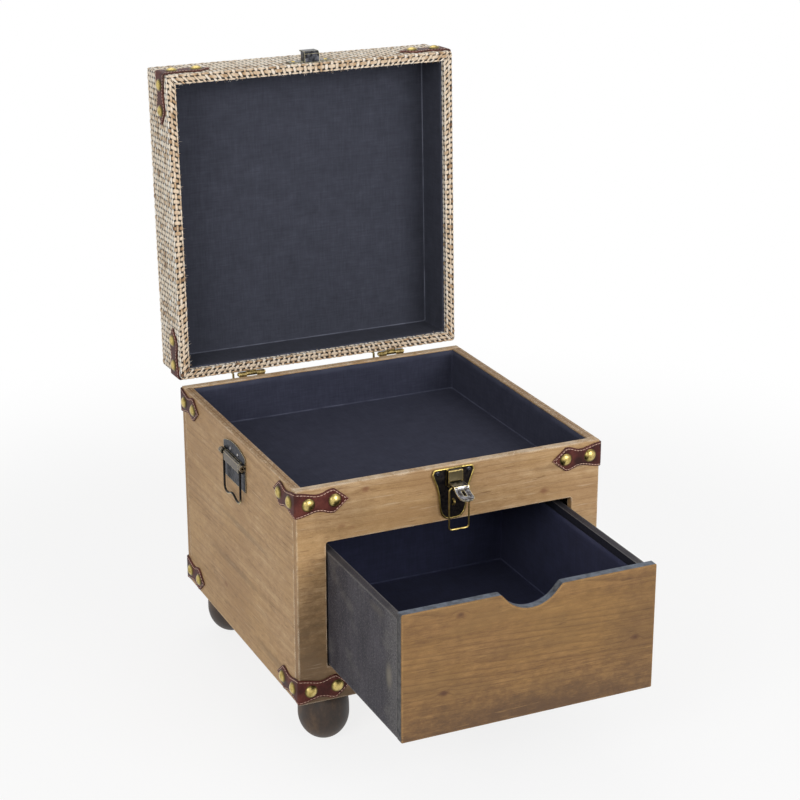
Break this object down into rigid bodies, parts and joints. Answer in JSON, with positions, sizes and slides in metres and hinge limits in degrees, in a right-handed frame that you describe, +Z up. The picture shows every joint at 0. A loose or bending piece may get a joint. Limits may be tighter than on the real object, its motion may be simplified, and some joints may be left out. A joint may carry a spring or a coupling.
{
  "type": "accent trunk",
  "caption": "Small wooden accent trunk on turned feet: hinged woven-fabric lid with leather corner straps, brass latch, lined tray and a pull-out drawer with a finger notch.",
  "frame": {"origin": "on the floor, under the middle of the bounding box with the lid open and the drawer out", "axes": "+Z up, the front with the latch and the drawer faces -Y, +X is to the right seen from the front"},
  "size_m": [0.3448, 0.5784, 0.629],
  "materials": {
    "case_wood": "stained pine, satin, worn at the edges",
    "drawer_wood": "orange stained pine, satin",
    "grey_paint": "thin charcoal paint on wood, scuffed",
    "foot_wood": "dark stain, satin",
    "lining": "charcoal cloth",
    "drawer_cloth": "black cloth",
    "woven_fabric": "coarse cream basket weave",
    "leather": "reddish brown, stitched, domed brass nails",
    "antique_brass": "darkened brass, bright on the edges",
    "bright_brass": "plain polished brass",
    "dark_steel": "blackened, brass showing on the edges"
  },
  "bodies": {
    "case": {"case_front_panel": "case_wood", "case_back_panel": "case_wood", "case_left_panel": "case_wood", "case_right_panel": "case_wood", "case_bottom_panel": "case_wood", "compartment_floor": "case_wood", "tray_lining": "lining", "foot_front_left": "foot_wood", "foot_front_right": "foot_wood", "foot_rear_left": "foot_wood", "foot_rear_right": "foot_wood", "drawer_runner_left": "grey_paint", "drawer_runner_right": "grey_paint", "strap_top_front_left": "leather", "strap_top_front_right": "leather", "strap_top_rear_left": "leather", "strap_top_rear_right": "leather", "strap_bottom_front_left": "leather", "strap_bottom_front_right": "leather", "strap_bottom_rear_left": "leather", "strap_bottom_rear_right": "leather", "latch_base_plate": "antique_brass", "handle_plate_left": "dark_steel", "handle_plate_right": "dark_steel", "hinge_case_leaf_left": "bright_brass", "hinge_case_leaf_right": "bright_brass", "hinge_pin_left": "bright_brass", "hinge_pin_right": "bright_brass"},
    "lid": {"lid_top_board": "case_wood", "lid_front_rail": "case_wood", "lid_back_rail": "case_wood", "lid_left_rail": "case_wood", "lid_right_rail": "case_wood", "lid_cover": "woven_fabric", "lid_lining": "lining", "lid_strap_front_left": "leather", "lid_strap_front_right": "leather", "lid_strap_rear_left": "leather", "lid_strap_rear_right": "leather", "lid_catch": "antique_brass", "hinge_lid_leaf_left": "bright_brass", "hinge_lid_leaf_right": "bright_brass"},
    "drawer": {"drawer_front": "drawer_wood", "drawer_left_side": "grey_paint", "drawer_right_side": "grey_paint", "drawer_back": "grey_paint", "drawer_bottom": "grey_paint", "drawer_lining": "drawer_cloth"},
    "latch_lever": {"latch_lever": "antique_brass"},
    "latch_loop_sleeve": {"latch_loop_sleeve": "bright_brass"},
    "latch_loop": {"latch_loop": "antique_brass"},
    "handle_bail_left": {"handle_bail_left": "dark_steel"},
    "handle_bail_right": {"handle_bail_right": "dark_steel"}
  },
  "joints": [
    {"name": "lid_hinge", "type": "hinge", "parent": "case", "child": "lid", "pos_m": [0, 0.21084, 0.2849], "axis": [1, 0, 0], "range_deg": [0, 92.25]},
    {"name": "drawer_slide", "type": "slide", "parent": "case", "child": "drawer", "axis": [0, -1, 0], "range_m": [-0.1695, 0.06]},
    {"name": "latch_lever_hinge", "type": "hinge", "parent": "case", "child": "latch_lever", "pos_m": [0, -0.12556, 0.266], "axis": [1, 0, 0], "range_deg": [0, 82]},
    {"name": "loop_sleeve_turn", "type": "hinge", "parent": "latch_lever", "child": "latch_loop_sleeve", "pos_m": [0, -0.13556, 0.2654], "axis": [-1, 0, 0], "range_deg": [0, 82]},
    {"name": "latch_loop_hinge", "type": "hinge", "parent": "latch_loop_sleeve", "child": "latch_loop", "pos_m": [0, -0.13556, 0.2654], "axis": [-1, 0, 0], "range_deg": [-12, 180]},
    {"name": "handle_hinge_left", "type": "hinge", "parent": "case", "child": "handle_bail_left", "pos_m": [-0.1692, 0.04394, 0.258], "axis": [0, 1, 0], "range_deg": [-2, 170]},
    {"name": "handle_hinge_right", "type": "hinge", "parent": "case", "child": "handle_bail_right", "pos_m": [0.1692, 0.04394, 0.258], "axis": [0, -1, 0], "range_deg": [-2, 170]}
  ],
  "couplings": [
    {"joint": "loop_sleeve_turn", "follows": "latch_lever_hinge", "ratio": 1}
  ]
}
